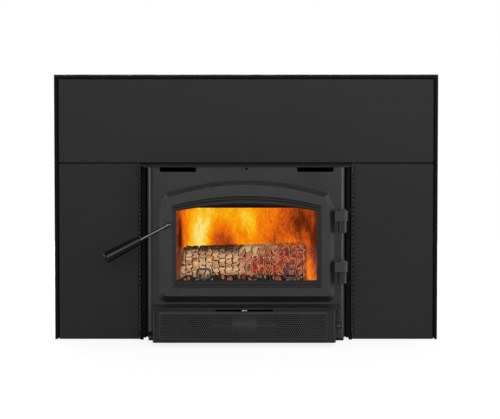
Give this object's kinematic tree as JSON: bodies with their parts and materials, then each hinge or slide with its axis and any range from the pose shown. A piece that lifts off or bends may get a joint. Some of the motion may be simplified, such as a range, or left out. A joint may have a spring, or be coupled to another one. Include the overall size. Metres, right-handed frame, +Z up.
{
  "type": "fireplace insert",
  "caption": "Wood-burning fireplace insert with an arched cast door, three-panel surround, ash shelf, air control and a blower box with a perforated front.",
  "frame": {"origin": "on the hearth, on the centre line, in the plane of the fireplace facing that the surround covers", "axes": "+X to the right seen from the room, -Y out into the room, +Z up"},
  "size_m": [1.118, 0.6093, 0.775],
  "materials": {
    "panel_black": "satin powder coat",
    "trim_black": "satin black",
    "body_paint": "matt high-temperature paint",
    "cast_paint": "matt high-temperature paint on casting",
    "jacket_steel": "matt black",
    "firebrick": "rough pumice brick",
    "vermiculite": "pressed board",
    "ceramic_wool": "ceramic blanket",
    "stainless": "heat-tinted stainless",
    "andiron_steel": "blue-grey mill steel",
    "firewood": "burning split log",
    "steel_pin": "plain steel",
    "ceramic_glass": "clear glass ceramic",
    "glass_rope": "graphite glass-fibre rope and tape",
    "galvanised": "galvanised sheet",
    "handle_chrome": "black nickel",
    "grip_black": "glossy moulded",
    "grille_paint": "matt, perforated",
    "motor_enamel": "enamel",
    "switch_plastic": "moulded"
  },
  "bodies": {
    "root": {"surround_top_panel": "panel_black", "surround_left_panel": "panel_black", "surround_right_panel": "panel_black", "trim_top": "trim_black", "trim_left": "trim_black", "trim_right": "trim_black", "vent_strip_left": "trim_black", "vent_strip_right": "trim_black", "seam_strip": "trim_black", "surround_brackets": "trim_black", "front_plate": "body_paint", "top_plate": "body_paint", "ash_shelf": "body_paint", "blower_box": "body_paint", "hinge_knuckles": "body_paint", "jacket_left": "jacket_steel", "jacket_right": "jacket_steel", "jacket_back": "jacket_steel", "base_frame": "jacket_steel", "firebox_shell": "jacket_steel", "flue_collar": "jacket_steel", "primary_air_cover": "jacket_steel", "air_wash_channel": "jacket_steel", "air_slide_guide": "jacket_steel", "latch_keeper": "jacket_steel", "floor_bricks": "firebrick", "left_bricks": "firebrick", "right_bricks": "firebrick", "back_bricks": "firebrick", "baffle_boards": "vermiculite", "baffle_blanket": "ceramic_wool", "air_tubes": "stainless", "andirons": "andiron_steel", "fire_log": "firewood", "hinge_pins": "steel_pin", "levelling_bolts": "steel_pin", "fan_scroll_left": "galvanised", "fan_scroll_right": "galvanised", "motor_bracket": "galvanised", "blower_grille": "grille_paint", "blower_motor": "motor_enamel", "switch_bezel": "switch_plastic", "power_inlet": "switch_plastic"},
    "door": {"door_frame": "cast_paint", "door_glass": "ceramic_glass", "glass_gasket": "glass_rope", "glass_clips": "galvanised", "clip_screws": "steel_pin", "door_gasket": "glass_rope"},
    "handle": {"handle_rod": "handle_chrome", "handle_grip": "grip_black", "latch_cam": "steel_pin", "cam_nut": "steel_pin"},
    "air_control": {"air_slide": "steel_pin", "air_knob": "handle_chrome"},
    "fan_rotor": {"fan_shaft": "steel_pin", "impeller_left": "galvanised", "impeller_right": "galvanised"},
    "fan_switch": {"switch_rocker": "switch_plastic"}
  },
  "joints": [
    {"name": "door_hinge", "type": "hinge", "parent": "root", "child": "door", "pos_m": [0.28, -0.1315, 0.3], "axis": [0, 0, 1], "range_deg": [0, 110]},
    {"name": "handle_turn", "type": "hinge", "parent": "door", "child": "handle", "pos_m": [-0.2234, -0.153, 0.3504], "axis": [0, 1, 0], "range_deg": [-30, 45]},
    {"name": "air_slide", "type": "slide", "parent": "root", "child": "air_control", "axis": [1, 0, 0], "range_m": [-0.076, 0.076]},
    {"name": "fan_spin", "type": "hinge", "parent": "root", "child": "fan_rotor", "pos_m": [-0.005, -0.158, 0.058], "axis": [1, 0, 0], "continuous": true},
    {"name": "switch_rock", "type": "hinge", "parent": "root", "child": "fan_switch", "pos_m": [0.2695, -0.1135, 0.0535], "axis": [1, 0, 0], "range_deg": [0, 16]}
  ]
}
